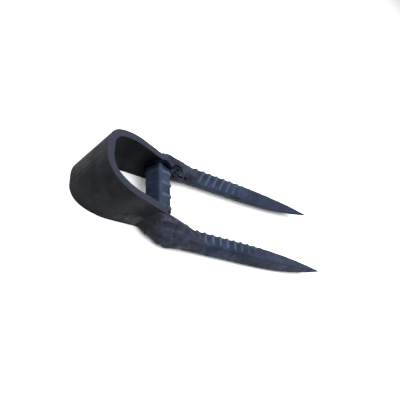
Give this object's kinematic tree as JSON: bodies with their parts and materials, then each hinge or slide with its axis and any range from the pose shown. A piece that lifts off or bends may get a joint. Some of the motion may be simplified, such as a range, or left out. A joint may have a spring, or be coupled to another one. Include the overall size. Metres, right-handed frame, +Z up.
{
  "type": "slip-on two-tined bucket tooth",
  "caption": "Welded slip-on tooth: a bent strap and ribbed cross bar form a D-shaped socket over a bucket tooth, and forged ribbed-bar tines reach forward.",
  "frame": {"origin": "middle of the strap's bottom edge at the back of the socket, on the plate's mid-line and on the surface the tooth lies on", "axes": "+X forward along the tines to their tips, +Y to the left tine, +Z up through the socket"},
  "size_m": [0.4058, 0.135, 0.0791],
  "materials": {
    "blued_plate": "matt blue-black mill scale on bent plate",
    "ribbed_bar_steel": "slate-blue forge scale on hot-rolled ribbed bar",
    "weld_metal": "heat-tinted weld metal with slag and spatter"
  },
  "bodies": {
    "root": {"strap": "blued_plate", "cross_bar": "ribbed_bar_steel", "right_tine": "ribbed_bar_steel", "left_tine": "ribbed_bar_steel", "right_root_weld": "weld_metal", "left_root_weld": "weld_metal", "right_toe_weld": "weld_metal", "left_toe_weld": "weld_metal", "right_bar_weld": "weld_metal", "left_bar_weld": "weld_metal"}
  },
  "joints": []
}
